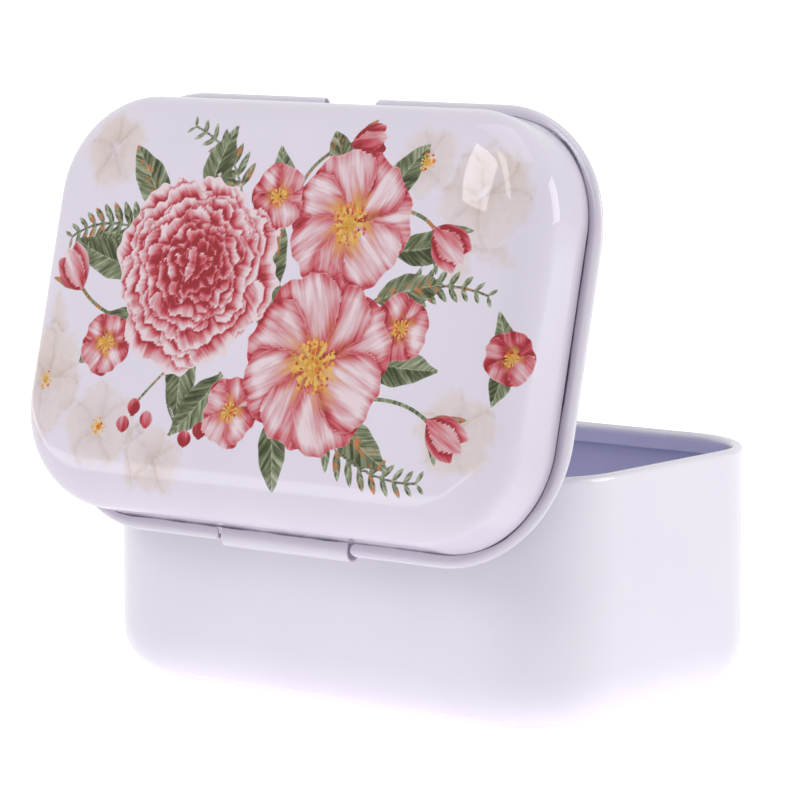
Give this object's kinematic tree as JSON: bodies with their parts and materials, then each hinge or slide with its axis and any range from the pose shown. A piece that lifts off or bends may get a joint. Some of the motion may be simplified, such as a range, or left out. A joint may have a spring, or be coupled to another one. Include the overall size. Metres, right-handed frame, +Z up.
{
  "type": "hinged jewelry box",
  "caption": "Small round-cornered drawn metal box with a hinged domed lid, a thumb notch at the front and a wire hinge at the back, for keeping jewelry.",
  "frame": {"origin": "middle of the flat underside of the tray", "axes": "+Z up, +X along the long side, thumb notch towards -Y, hinge at +Y"},
  "size_m": [0.0918, 0.0744, 0.0867],
  "materials": {
    "tray_enamel": "gloss",
    "lid_enamel": "gloss",
    "print_lacquer": "gloss",
    "wire_steel": "bright"
  },
  "bodies": {
    "base": {"base_tray": "tray_enamel", "hinge_wire": "wire_steel"},
    "lid": {"lid_pan": "lid_enamel", "printed_cover": "print_lacquer"}
  },
  "joints": [
    {"name": "lid_hinge", "type": "hinge", "parent": "base", "child": "lid", "pos_m": [0, 0.0283, 0.0266], "axis": [-1, 0, 0], "range_deg": [-76.2, 23.8]}
  ]
}
